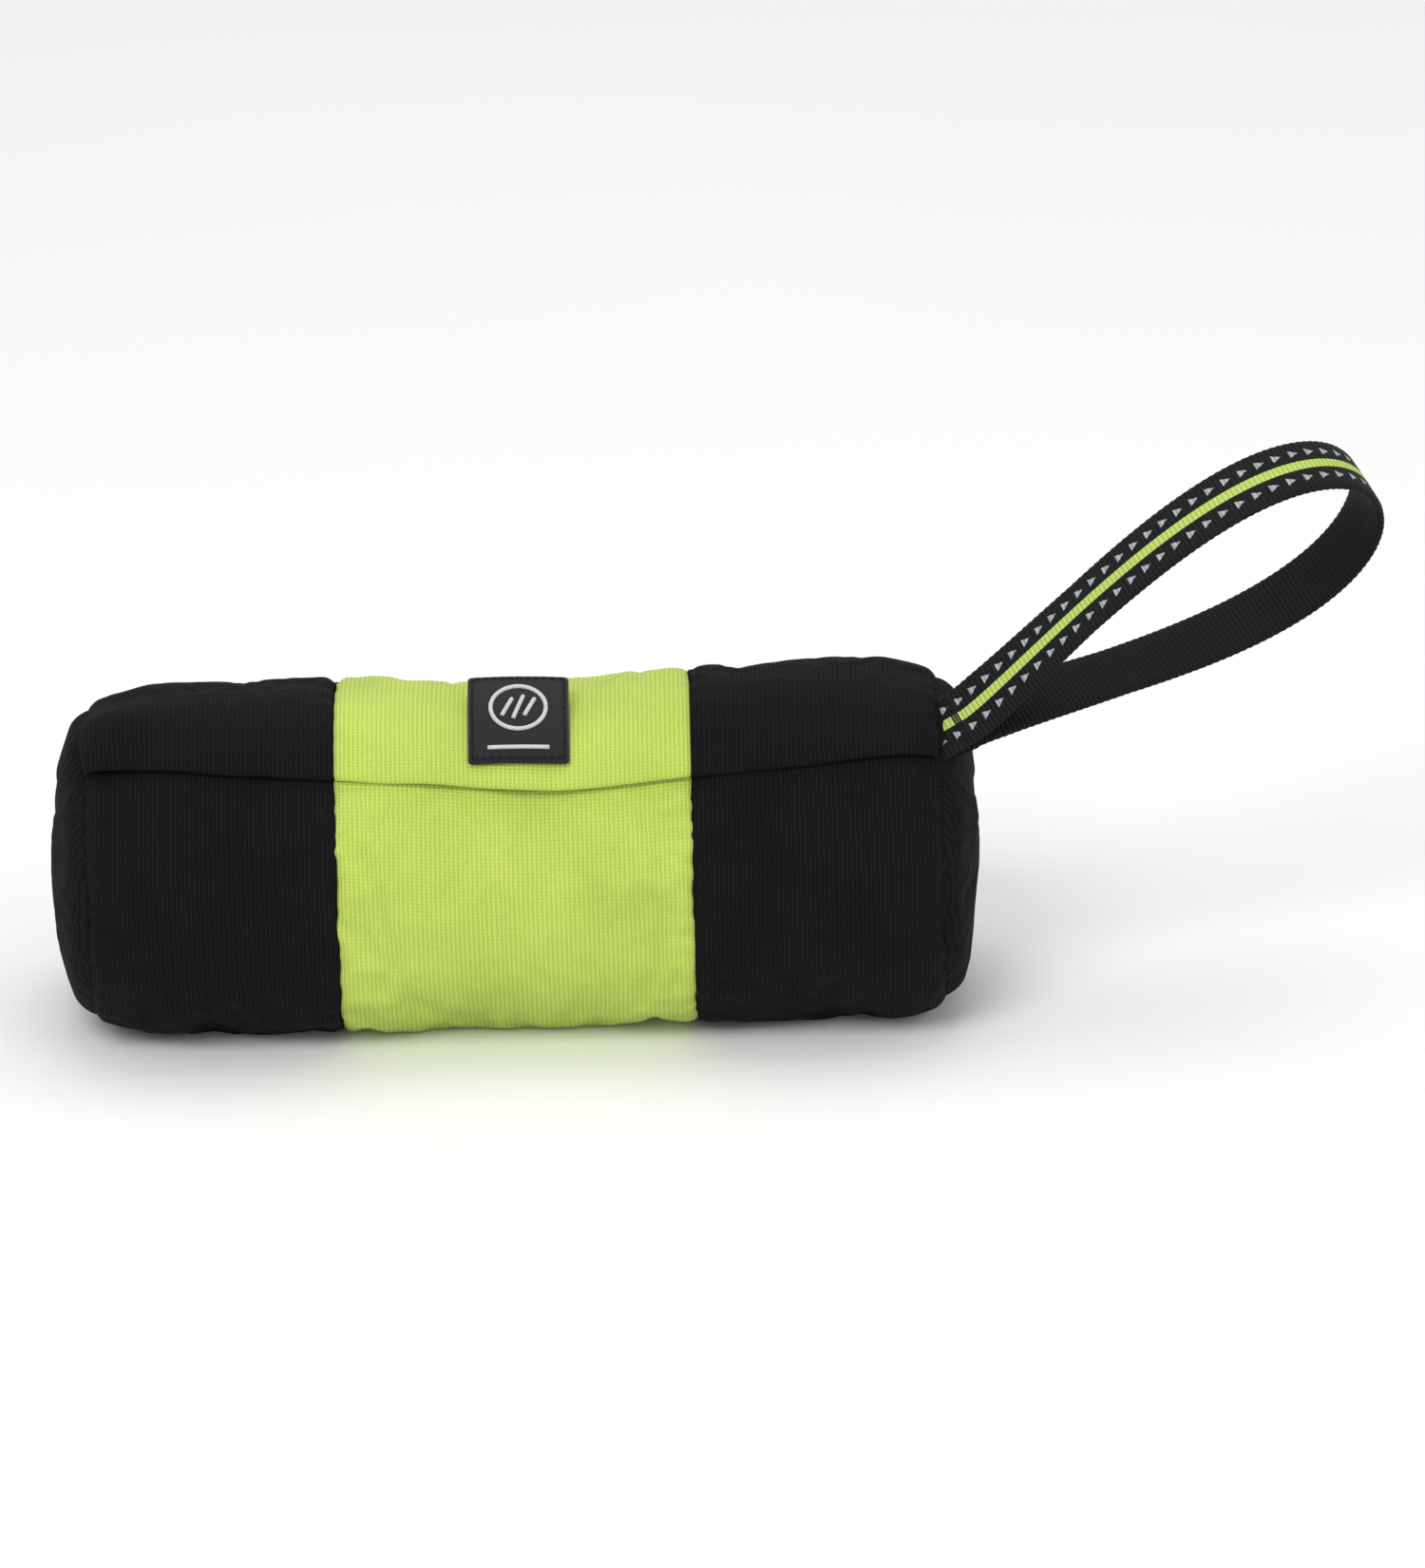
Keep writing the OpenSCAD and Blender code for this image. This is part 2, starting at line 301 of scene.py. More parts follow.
def closed_body():
    """Points and faces of the whole closed body, for the simulation."""
    rings = np.concatenate([left_cap[::-1], tube, right_cap])
    n, m = rings.shape[:2]
    proud = [0.2, 0, 0]
    poles = np.array([rings[0].mean(0) - proud, rings[-1].mean(0) + proud])
    return np.concatenate([rings.reshape(-1, 3), poles]), closed_faces(n, m), n, m


# Frames that the cloth runs for, how firmly the panel seams hold, and the most that a point may move.
CLOTH_FRAMES = 20
SEAM_HOLD = 0.7
MOVE_CAP = 2.6


def inflate():
    """Cloth simulation of the stuffed cover: held at its seams and round the zip, pressed out between."""
    points, faces, n, m = closed_body()
    body = new_object("inflating", points, faces)
    fix_normals(body)
    held = body.vertex_groups.new(name="held")
    for i in range(n):
        x = points[i * m][0]
        seam = min(abs(abs(x) - BAND_X), abs(abs(x) - SEAM_X)) < 0.6
        for j in range(m):
            by_zip = j >= FRONT_ROWS - HELD_ROWS or j < HELD_ROWS
            if seam or by_zip:
                held.add([i * m + j], 1.0 if by_zip else SEAM_HOLD, "REPLACE")
    cloth = body.modifiers.new("cloth", "CLOTH")
    cloth.settings.quality = 6
    cloth.settings.mass = 0.3
    cloth.settings.tension_stiffness = 20
    cloth.settings.compression_stiffness = 20
    cloth.settings.shear_stiffness = 6
    cloth.settings.bending_stiffness = 0.15
    cloth.settings.shrink_min = -0.02
    cloth.settings.use_pressure = True
    cloth.settings.uniform_pressure_force = 4
    cloth.settings.vertex_group_mass = "held"
    cloth.settings.effector_weights.gravity = 0
    cloth.collision_settings.use_collision = False
    cloth.point_cache.frame_start = 1
    cloth.point_cache.frame_end = CLOTH_FRAMES
    for step in range(1, CLOTH_FRAMES + 1):
        bpy.context.scene.frame_set(step)
    graph = bpy.context.evaluated_depsgraph_get()
    mesh = body.evaluated_get(graph).to_mesh()
    moved = np.array([v.co for v in mesh.vertices], float) / MM - points
    bpy.context.scene.frame_set(1)
    bpy.data.objects.remove(body)
    size = np.linalg.norm(moved, axis=1, keepdims=True)
    return moved * np.minimum(1, MOVE_CAP / np.maximum(size, 1e-9)), n, m


push, rows_n, ring_m = inflate()
push_size = np.linalg.norm(push, axis=1)
print("inflate: mean", float(push_size.mean()), "max", float(push_size.max()))
push = push[:rows_n * ring_m].reshape(rows_n, ring_m, 3)
left_cap = left_cap + push[:CAP_RINGS][::-1]
tube = tube + push[CAP_RINGS:CAP_RINGS + COLS]
right_cap = right_cap + push[CAP_RINGS + COLS:]

tube[:, :, 2] = np.maximum(tube[:, :, 2], 0.0)


def outward(p):
    """Normals of a tube grid (columns along X, rows round the section), pointing out."""
    normal = grid_normals(p)
    middle = np.array([0, 1, HEIGHT / 2])
    flip = np.sign((normal * (p - middle)).sum(-1, keepdims=True))
    return normal * np.where(flip == 0, 1, flip)


def seam_roll(distance, depth=0.9, reach=2.2):
    """How far cloth rolls in towards a seam at a distance from it."""
    return depth * np.clip(1 - distance / reach, 0, 1) ** 2


def puckers(distance, s, seed, height=0.24, pitch=6.5):
    """Small gathers that fade away from a seam."""
    phase = 2 * math.pi * s / pitch + 3 * np.sin(s / 17 + seed)
    return height * np.exp(-distance / 4.5) * np.sin(phase)


def halve_steps(q):
    """Catmull-Rom curves through a grid's rows, with one more row between each two."""
    n = q.shape[0]
    at = np.linspace(0, n - 1, (n - 1) * 2 + 1)
    i = np.clip(at.astype(int), 0, n - 2)
    t = (at - i).reshape(-1, *[1] * (q.ndim - 1))
    a = q[np.clip(i - 1, 0, n - 1)]
    b = q[i]
    c = q[i + 1]
    d = q[np.clip(i + 2, 0, n - 1)]
    square = 2 * a - 5 * b + 4 * c - d
    cube = 3 * b - a - 3 * c + d
    return 0.5 * (2 * b + (c - a) * t + square * t ** 2 + cube * t ** 3)


def refine(p):
    """The same grid with twice the points each way, along its own smooth curves."""
    return np.swapaxes(halve_steps(np.swapaxes(halve_steps(p), 0, 1)), 0, 1)


# One seed for all the cover's panels, so that their ripples run on across the seams.
COVER_SEED = 3.1


def detailed(p, seams_x):
    """Adds seam rolls, gathers and slack ripples to a grid of a cover panel."""
    normal = outward(p)
    x = p[:, :, 0]
    s = TOP_R * np.arctan2(p[:, :, 1], p[:, :, 2] - CENTRE_Z)
    lift = 0.5 * wobble(p, 25, COVER_SEED + 3)
    lift += 0.34 * wobble(p * [1, 0.55, 0.55], 13, COVER_SEED)
    lift += 0.14 * wobble(p, 5, COVER_SEED + 7)
    for seam in seams_x:
        d = np.abs(x - seam)
        lift = lift - seam_roll(d) + puckers(d, s, COVER_SEED + seam)
    p = p + normal * lift[..., None]
    p[:, :, 2] = np.maximum(p[:, :, 2], 0.0)
    return p


def meet(p, ends=(), over=0.35):
    """Runs a panel a little past its side seams and the named row ends, so that neighbours meet."""
    p = p.copy()
    p[0] += over * unit(p[0] - p[1])
    p[-1] += over * unit(p[-1] - p[-2])
    for row, before in ends:
        p[:, row] += over * unit(p[:, row] - p[:, before])
    return p


def weave_coords(p):
    """Distances along and across the cloth, in millimetres, following the grid's own rows and columns."""
    across = np.concatenate([[0], np.cumsum(np.linalg.norm(np.diff(p, axis=0), axis=2).mean(1))])
    down = np.concatenate([[0], np.cumsum(np.linalg.norm(np.diff(p, axis=1), axis=2).mean(0))])
    return np.stack(np.meshgrid(across + p[0, 0, 0], down, indexing="ij"), -1)


# ---------------------------------------------------------------- materials


class Nodes:
    """Short calls for building one material's node tree."""

    def __init__(self, name, roughness, sheen=0.0, metallic=0.0, specular=0.5):
        self.mat = bpy.data.materials.new(name)
        self.mat.use_nodes = True
        self.tree = self.mat.node_tree
        self.shader = self.tree.nodes["Principled BSDF"]
        self.shader.inputs["Roughness"].default_value = roughness
        self.shader.inputs["Metallic"].default_value = metallic
        self.shader.inputs["Sheen Weight"].default_value = sheen
        self.shader.inputs["Specular IOR Level"].default_value = specular

    def put(self, socket, value):
        """Links a node's output to a socket, or sets a plain value there."""
        if isinstance(value, bpy.types.NodeSocket):
            self.tree.links.new(value, socket)
        else:
            socket.default_value = value

    def math(self, operation, a, b=0.0, clamp=False):
        """Sum, product or other operation on two sockets or numbers."""
        node = self.tree.nodes.new("ShaderNodeMath")
        node.operation = operation
        node.use_clamp = clamp
        self.put(node.inputs[0], a)
        self.put(node.inputs[1], b)
        return node.outputs[0]

    def weave(self):
        """The cloth's own coordinates: along, across, which face, and all three together."""
        node = self.tree.nodes.new("ShaderNodeAttribute")
        node.attribute_name = "weave"
        split = self.tree.nodes.new("ShaderNodeSeparateXYZ")
        self.tree.links.new(node.outputs["Vector"], split.inputs[0])
        return split.outputs[0], split.outputs[1], split.outputs[2], node.outputs["Vector"]

    def object_point(self):
        """Place on the object, in metres."""
        return self.tree.nodes.new("ShaderNodeTexCoord").outputs["Object"]

    def noise(self, vector, scale, detail=3.0):
        """Mottling from 0 to 1."""
        node = self.tree.nodes.new("ShaderNodeTexNoise")
        self.put(node.inputs["Vector"], vector)
        node.inputs["Scale"].default_value = scale
        node.inputs["Detail"].default_value = detail
        return node.outputs["Fac"]

    def wave(self, coordinate, pitch):
        """Sine wave of a given pitch along a coordinate."""
        return self.math("SINE", self.math("MULTIPLY", coordinate, 2 * math.pi / pitch))

    def mix(self, factor, a, b):
        """Colour a share of the way from a to b."""
        node = self.tree.nodes.new("ShaderNodeMix")
        node.data_type = "RGBA"
        self.put(node.inputs["Factor"], factor)
        self.put(node.inputs["A"], a)
        self.put(node.inputs["B"], b)
        return node.outputs["Result"]

    def colour(self, value):
        """Sets the surface's colour."""
        self.put(self.shader.inputs["Base Color"], value)

    def bump(self, height, distance):
        """Raises the surface by a height from 0 to 1, times a distance in metres."""
        node = self.tree.nodes.new("ShaderNodeBump")
        node.inputs["Strength"].default_value = 1.0
        node.inputs["Distance"].default_value = distance
        self.put(node.inputs["Height"], height)
        self.put(self.shader.inputs["Normal"], node.outputs["Normal"])


def cloth_material(name, dark, light, rib=1.0, row=0.8, bump=0.00028, sheen=0.25, roughness=0.85,
                   specular=0.25):
    """Woven cloth: ribs round the section, finer rows along it, yarn by yarn colour change, with painted
    highlight on the raised ribs and rows and painted shade in the grooves between them.
    """
    n = Nodes(name, roughness, sheen, specular=specular)
    x, y, _, vector = n.weave()
    ribs = n.wave(x, rib)
    rows = n.wave(n.math("ADD", y, n.math("MULTIPLY", ribs, row * 0.2)), row)
    height = n.math("ADD", n.math("MULTIPLY", ribs, 0.32), n.math("MULTIPLY", rows, 0.18))
    height = n.math("ADD", height, 0.5)
    yarn = n.noise(vector, 1.6, 4)
    patch = n.noise(n.object_point(), 45, 3)
    # The tone follows the weave's height: painted highlight on the crests and painted shade in the
    # grooves; the yarn noise and the broad patches are the cloth's own random tone.
    tone = n.math("ADD", n.math("MULTIPLY", height, 0.8), n.math("MULTIPLY", yarn, 0.3))
    tone = n.math("ADD", tone, n.math("MULTIPLY", n.math("SUBTRACT", patch, 0.5), 0.7), clamp=True)
    n.colour(n.mix(tone, (*dark, 1), (*light, 1)))
    rough = n.math("ADD", n.math("MULTIPLY", yarn, 0.2), roughness - 0.1, clamp=True)
    n.put(n.shader.inputs["Roughness"], rough)
    n.bump(n.math("ADD", height, n.math("MULTIPLY", yarn, 0.3)), bump)
    return n.mat


# Half the width of the webbing's stripe, and the triangles' pitch, line, length and slope.
STRIPE_HALF = 1.2
TOOTH_PITCH = 4.0
TOOTH_LINE = 3.7
TOOTH_LEN = 2.1
TOOTH_SLOPE = 0.5


def webbing_material():
    """Ribbed webbing: cross ribs all over, with a stripe and rows of small triangles on the outer face."""
    n = Nodes("webbing", 0.65, 0.01, specular=0.14)
    run, across, face, vector = n.weave()
    outer = n.math("GREATER_THAN", face, 0.0)
    side = n.math("ABSOLUTE", across)
    stripe = n.math("MULTIPLY", n.math("LESS_THAN", side, STRIPE_HALF), outer)
    tooth = n.math("MULTIPLY", n.math("FRACT", n.math("DIVIDE", run, TOOTH_PITCH)), TOOTH_PITCH)
    row = n.math("ABSOLUTE", n.math("SUBTRACT", side, TOOTH_LINE))
    half_width = n.math("MULTIPLY", n.math("SUBTRACT", TOOTH_LEN, tooth), TOOTH_SLOPE)
    slope = n.math("LESS_THAN", row, half_width)
    spot = n.math("MULTIPLY", slope, outer)
    ribs = n.math("ADD", n.math("MULTIPLY", n.wave(run, 1.1), 0.5), 0.5)
    rows = n.math("ADD", n.math("MULTIPLY", n.wave(across, 0.9), 0.5), 0.5)
    yarn = n.noise(vector, 2.2, 3)
    # The tone follows the ribs: painted highlight on their crests and painted shade between them; the yarn
    # noise is the webbing's own random tone.
    tone = n.math("ADD", n.math("MULTIPLY", ribs, 0.6), n.math("MULTIPLY", yarn, 0.4), clamp=True)
    black = n.mix(tone, (0.002, 0.002, 0.0024, 1), (0.012, 0.012, 0.0132, 1))
    lime = n.mix(tone, (0.30, 0.42, 0.07, 1), (0.56, 0.72, 0.18, 1))
    grey = n.mix(tone, (0.22, 0.23, 0.24, 1), (0.50, 0.51, 0.53, 1))
    n.colour(n.mix(spot, n.mix(stripe, black, lime), grey))
    height = n.math("ADD", n.math("MULTIPLY", ribs, 0.7), n.math("MULTIPLY", rows, 0.3))
    n.bump(n.math("ADD", height, n.math("MULTIPLY", spot, 0.5)), 0.00022)
    return n.mat


def plain_material(name, dark, light, metallic=0.0, roughness=0.4, bump=0.00003):
    """Moulded or enamelled surface with fine mottling and slight wear."""
    n = Nodes(name, roughness, metallic=metallic)
    point = n.object_point()
    fine = n.noise(point, 900, 4)
    worn = n.noise(point, 160, 2)
    tone = n.math("ADD", n.math("MULTIPLY", fine, 0.5), n.math("MULTIPLY", worn, 0.5))
    n.colour(n.mix(tone, (*dark, 1), (*light, 1)))
    rough = n.math("ADD", n.math("MULTIPLY", worn, 0.25), roughness - 0.1, clamp=True)
    n.put(n.shader.inputs["Roughness"], rough)
    n.bump(fine, bump)
    return n.mat


def fibre_material():
    """Loose white stuffing."""
    n = Nodes("fibre_fill", 0.95, 0.5)
    point = n.object_point()
    fine = n.noise(point, 1200, 6)
    n.colour(n.mix(fine, (0.62, 0.61, 0.57, 1), (0.9, 0.9, 0.87, 1)))
    n.bump(fine, 0.0005)
    return n.mat


BLACK = cloth_material(
    "black_fabric", (0.002, 0.002, 0.0028), (0.0098, 0.0094, 0.0118), sheen=0.008, specular=0.09)
LIME = cloth_material("lime_fabric", (0.34, 0.47, 0.055), (0.60, 0.74, 0.14), sheen=0.08)
LINING = cloth_material("lining_fabric", (0.03, 0.03, 0.033), (0.09, 0.09, 0.095), rib=0.5, row=0.5)
BAG = cloth_material("bag_fabric", (0.08, 0.08, 0.088), (0.2, 0.205, 0.215), rib=1.4, row=1.4, sheen=0.05)
BINDING = cloth_material("binding_tape", (0.03, 0.03, 0.033), (0.08, 0.08, 0.085), rib=0.8, row=0.5)
TAPE = cloth_material("zip_tape", (0.008, 0.008, 0.009), (0.035, 0.035, 0.038), rib=0.6, row=0.6)
LABEL = cloth_material(
    "label_cloth", (0.004, 0.004, 0.005), (0.014, 0.014, 0.016), rib=0.35, row=0.35, bump=0.00006)
MOTIF = cloth_material(
    "label_thread", (0.42, 0.43, 0.45), (0.68, 0.69, 0.72), rib=0.4, row=0.4, bump=0.00008)
THREAD = cloth_material(
    "black_thread", (0.004, 0.004, 0.005), (0.018, 0.018, 0.02), rib=0.3, row=0.3, bump=0.00008,
    sheen=0.02, specular=0.15)
LIME_THREAD = cloth_material(
    "lime_thread", (0.30, 0.44, 0.05), (0.55, 0.72, 0.13), rib=0.3, row=0.3, bump=0.00008)
WEBBING = webbing_material()
NYLON = plain_material("zip_nylon", (0.012, 0.012, 0.013), (0.04, 0.04, 0.043))
METAL = plain_material("zip_metal", (0.03, 0.03, 0.033), (0.10, 0.10, 0.11), metallic=0.7)
STOPS = plain_material("zip_stop", (0.16, 0.16, 0.17), (0.3, 0.3, 0.31), metallic=1.0)
FIBRE = fibre_material()


def finish_piece(obj, material, slot_name, body, *nodes):
    """Gives a piece its material and body, and hides the CAD nodes that it stands for; the slot name is
    not used.
    """
    obj.data.materials.clear()
    obj.data.materials.append(material)
    if nodes:
        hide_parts(*nodes)
    if body:
        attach(obj, body)


# ---------------------------------------------------------------- hand loop's place

flex = next(j for j in frame["joints"] if j["name"] == "loop_flex")
ROOT = np.array(flex["pos_m"], float) / MM
LOOP_W = -unit(np.array(flex["axis"], float))
# The way that the loop points, the way that it opens, its length, half width and twist in degrees.
LOOP_U = unit(np.array([0.8756, 0.1813, 0.4478]))
LOOP_T = unit(np.cross(LOOP_U, -LOOP_W))
LOOP_LEN = 100.0
LOOP_HALF = 22.0
LOOP_TWIST = -14.0

# ---------------------------------------------------------------- cover panels

# Each panel's two ends, its cloth, its material slot and its thread.
PANELS = {
    "left": (-SEAM_X, -BAND_X, BLACK, "black_fabric", THREAD),
    "centre": (-BAND_X, BAND_X, LIME, "lime_fabric", LIME_THREAD),
    "right": (BAND_X, SEAM_X, BLACK, "black_fabric", THREAD),
}


def find_back_row():
    """Row of a section at the seam behind the crown."""
    y, z = section(0)[:FRONT_ROWS].T
    behind = np.degrees(np.arctan2(y, z - CENTRE_Z))
    return int(np.argmin(np.abs(behind - BACK_SEAM_DEG) + 100 * (z < CENTRE_Z)))


back_row = find_back_row()


def panel_columns(x0, x1):
    """Which columns of the tube lie from x0 to x1."""
    return [i for i, x in enumerate(columns) if x0 - 0.01 <= x <= x1 + 0.01]


def wrap(name):
    """Cover panel from the flap's edge down the front, under and up the back."""
    x0, x1, material, slot_name, _ = PANELS[name]
    p = refine(tube[panel_columns(x0, x1)][:, :back_row + 1])
    p = detailed(p, (x0, x1))
    d = np.linalg.norm(p - p[:, -1:], axis=2)
    p = p - outward(p) * seam_roll(d, 0.7)[..., None]
    last, last_but_one = -1, -2
    p = meet(p, [(last, last_but_one)])
    obj = shell(name + "_cover", p, CLOTH_T, weave_coords(p), outward(p))
    finish_piece(obj, material, slot_name, "cover", name + "_wrap_panel")


# Rows of points from the crown to the flap's edge.
FLAP_ROWS = 15


def upper_grid(x_columns, crown_part):
    """The upper panel: from the back seam over the crown, then out along the flap to its edge."""
    rows = []
    for i, x in enumerate(x_columns):
        crown = crown_part[i, -1]
        reach = crown[2] - CENTRE_Z
        edge = float(flap_edge_deg(x))
        degs = np.linspace(0, edge, FLAP_ROWS + 1)[1:]
        a = np.radians(degs)
        swell = 0.9 * np.sin(np.pi * degs / edge) * (1 - math.exp(-((x - 6) / 20) ** 2) * 0.4)
        side = (TOP_R + swell) * np.sin(a) * (TOP_R - end_inset(x) * 0.7) / TOP_R
        high = CENTRE_Z + (reach + swell) * np.cos(a)
        rows.append(np.column_stack([np.full(FLAP_ROWS, x), crown[1] * np.cos(a) - side, high]))
    return np.concatenate([crown_part, np.array(rows)], axis=1)


def flap_ripple(p):
    """Ripples of the slack flap, strongest at its free edge, with room for the pull at the closed end."""
    x = p[:, :, 0]
    j = np.linspace(0, 1, p.shape[1])[None, :]
    free = np.clip((j - 0.55) / 0.45, 0, 1) ** 1.5
    edge = 0.55 * np.sin(x / 5.1 + 2 * np.sin(x / 19)) + 0.35 * np.sin(x / 2.9 + 1.3)
    sides = sum(np.exp(-((x - s) / 5) ** 2) for s in (-16, 21))
    dip = 0.9 * sides * np.exp(-((j - 0.72) / 0.2) ** 2)
    proud = 1.3 * np.exp(-((x - 4) / 22) ** 2) * free
    deg = np.degrees(np.arctan2(-p[:, :, 1], p[:, :, 2] - CENTRE_Z))
    pull_room = 3.0 * np.exp(-((x + 86) / 11) ** 2) * np.exp(-((deg - ZIP_DEG) / 15) ** 2)
    return 0.6 * edge * free + proud + pull_room - dip


# How far the flap's cloth runs past its lining at each end.
FLAP_OVER = 1.5


def upper(name):
    """Upper panel with its flap, one piece from the back seam over the crown out to the flap's edge."""
    x0, x1, material, slot_name, _ = PANELS[name]
    keep = panel_columns(x0, x1)
    xs = np.clip(columns[keep], -FLAP_X - FLAP_OVER, FLAP_X + FLAP_OVER)
    grid = upper_grid(xs, tube[keep][:, back_row:FRONT_ROWS])
    p = detailed(refine(grid), (x0, x1))
    edge_roll = 0.8 * np.exp(-np.linspace(1, 0, p.shape[1]) * 70)
    lift = flap_ripple(p) - edge_roll[None, :]
    d = np.linalg.norm(p - p[:, :1], axis=2)
    p = p + outward(p) * (lift - seam_roll(d, 0.7))[..., None]
    p = meet(p, [(0, 1)])
    obj = shell(name + "_upper", p, FLAP_T, weave_coords(p), outward(p))
    finish_piece(obj, material, slot_name, None, name + "_flap_panel")
    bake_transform(obj)
    return p


for name in PANELS:
    wrap(name)
uppers = {name: upper(name) for name in PANELS}

# Step between points round an end panel, and the dimple that the loop's root presses in.
END_STEP = 1.2
DIMPLE = 1.8
DIMPLE_R = 9


def end_panel(name, rings, edge, side):
    """Bulged end panel: rings from the seam to the middle, closed by a pole."""
    grid = np.concatenate([edge[None], rings])
    grid = np.concatenate([grid, grid[:, :1]], axis=1)
    grid = refine(grid)[:, :-1]
    from_seam = np.linspace(0, TOP_R, grid.shape[0])[:, None]
    s = np.arange(grid.shape[1])[None, :] * END_STEP
    lift = 0.35 * wobble(grid, 14, 9.0 + side)
    lift = lift + puckers(from_seam, s, side, height=0.3, pitch=8.0) - seam_roll(from_seam)
    if side > 0:
        from_root = np.linalg.norm(grid[:, :, 1:] - ROOT[1:], axis=2)
        lift = lift - DIMPLE * np.exp(-(from_root / DIMPLE_R) ** 2)
    grid[:, :, 0] += side * lift
    n, m = grid.shape[:2]
    outer = np.concatenate([grid.reshape(-1, 3), [grid[-1].mean(0) + [side * 0.05, 0, 0]]])
    inner = outer - [side * CLOTH_T, 0, 0]
    centre = grid[0].mean(0)
    inner[:, 1:] = centre[1:] + (inner[:, 1:] - centre[1:]) * 0.985
    count = len(outer)
    faces = ring_faces(n, m)
    faces += [(n * m, (n - 1) * m + (j + 1) % m, (n - 1) * m + j) for j in range(m)]
    faces += [tuple(v + count for v in reversed(f)) for f in faces]
    faces += [(j, (j + 1) % m, (j + 1) % m + count, j + count) for j in range(m)]
    points = np.concatenate([outer, inner])
    weave = np.column_stack([points[:, 1], points[:, 2], np.ones(len(points))])
    obj = new_object(name + "_end_cover", points, faces, weave)
    fix_normals(obj)
    smooth_out(obj)
    finish_piece(obj, BLACK, "black_fabric", "cover", name + "_end_panel")


def end_edge(i):
    """Outline of an end panel at its seam, drawn across the recess by the flap's line."""
    edge = tube[i].copy()
    crown = edge[FRONT_ROWS - 1]
    first = edge[0]
    t = np.linspace(0, 1, RECESS_ROWS)[1:-1]
    chord = crown * (1 - t[:, None]) + first * t[:, None]
    bow = 3.2 * np.sin(np.pi * t)
    chord[:, 1] -= 0.4 * bow
    chord[:, 2] += bow
    edge[FRONT_ROWS:] = chord
    return edge


def whole_cap(rings, edge):
    """An end's rings drawn again across the recess, as bulged as the simulated ones."""
    whole, _ = shrunk_rings(edge)
    whole[:, :, 0] = rings[:, :, 0]
    return whole


left_edge = end_edge(0)
right_edge = end_edge(-1)
end_panel("left", whole_cap(left_cap, left_edge), left_edge, -1)
end_panel("right", whole_cap(right_cap, right_edge), right_edge, 1)

# ---------------------------------------------------------------- inside

# How much further the stuffing keeps from the cover below the zip, and the room left at each end.
ZIP_CLEAR = 4.5
END_CLEAR = 2.5


def inner_form(name, gap, ripple, material, slot_name, node, thickness=0.0):
    """Closed soft form a set distance inside the cover."""
    rings = np.concatenate([left_cap[::-1], tube, right_cap])
    radial = rings - rings.mean(1, keepdims=True)
    radial[:, :, 0] = 0
    size = np.linalg.norm(radial, axis=2, keepdims=True)
    below_zip = np.ones(rings.shape[1])
    below_zip[2:FRONT_ROWS - 9] = 0
    depth = (gap + ZIP_CLEAR * below_zip)[None, :, None]
    p = rings - radial * np.minimum(1, depth / np.maximum(size, 1e-6))
    p[:, :, 0] *= (HALF_LEN - gap - END_CLEAR) / HALF_LEN
    p = p - unit(radial) * (ripple * (1 + wobble(p, 9, 21.0)))[..., None]
    n, m = p.shape[:2]
    points = np.concatenate([p.reshape(-1, 3), [p[0].mean(0)], [p[-1].mean(0)]])
    weave = np.column_stack([points[:, 0], points[:, 1] + points[:, 2], np.ones(len(points))])
    obj = new_object(name, points, closed_faces(n, m), weave)
    fix_normals(obj)
    if thickness:
        solid = obj.modifiers.new("cloth", "SOLIDIFY")
        solid.thickness = thickness * MM
        solid.offset = -1
        bake_modifiers(obj)
    finish_piece(obj, material, slot_name, "cover", node)


inner_form("stuffing_bag", 2.6, 0.3, BAG, "bag_fabric", "inner_bag", thickness=0.4)
inner_form("fibre_stuffing", 3.8, 0.5, FIBRE, "fibre_fill", "stuffing_core")

# Depth of the binding tapes under the cover's face.
BINDING_GAP = 1.25


def binding(name, column, side):
    """Ring of tape over the raw edges inside an end seam."""
    ring = tube[column][:FRONT_ROWS]
    middle = ring.mean(0)
    ring = middle + (ring - middle) * (1 - BINDING_GAP / FRONT_R)
    xs = [ring[0, 0] - side * (1.5 + k) for k in range(5)]
    p = np.array([np.column_stack([np.full(len(ring), x), ring[:, 1], ring[:, 2]]) for x in xs])
    obj = shell(name, p, 0.6, weave_coords(p), outward(p))
    finish_piece(obj, BINDING, "binding_tape", "cover", name.replace("tape", "binding"))


binding("left_seam_tape", 0, -1)
binding("right_seam_tape", -1, 1)


# Gap between the flap's cloth and its lining.
LINING_GAP = 0.08


def flap_lining():
    """Lining under the flap, following the underside of the upper panels."""
    strips = []
    for name in PANELS:
        p = uppers[name]
        first = p.shape[1] - 2 * FLAP_ROWS + 3
        q = p[:, first:-2] - outward(p)[:, first:-2] * (FLAP_T + LINING_GAP)
        strips.append(q if not strips else q[1:])
    p = np.concatenate(strips)
    obj = shell("flap_underside", p, 0.4, weave_coords(p), outward(p), levels=0)
    finish_piece(obj, LINING, "lining_fabric", "flap", "flap_lining")


flap_lining()

# ---------------------------------------------------------------- zip


def on_zip(x, up, out):
    """Point by its place along the zip, across it towards the crown, and out of it."""
    y, z = ZIP_MID + ZIP_UP * up + ZIP_OUT * out
    return (x, y, z)


# The tapes run on past the CAD ones to close the recess, and keep clear of the cover's inner face.
TAPE_X = ZIP_X + 4.5
TAPE_GAP = 0.6
TAPE_LEAST_W = 6


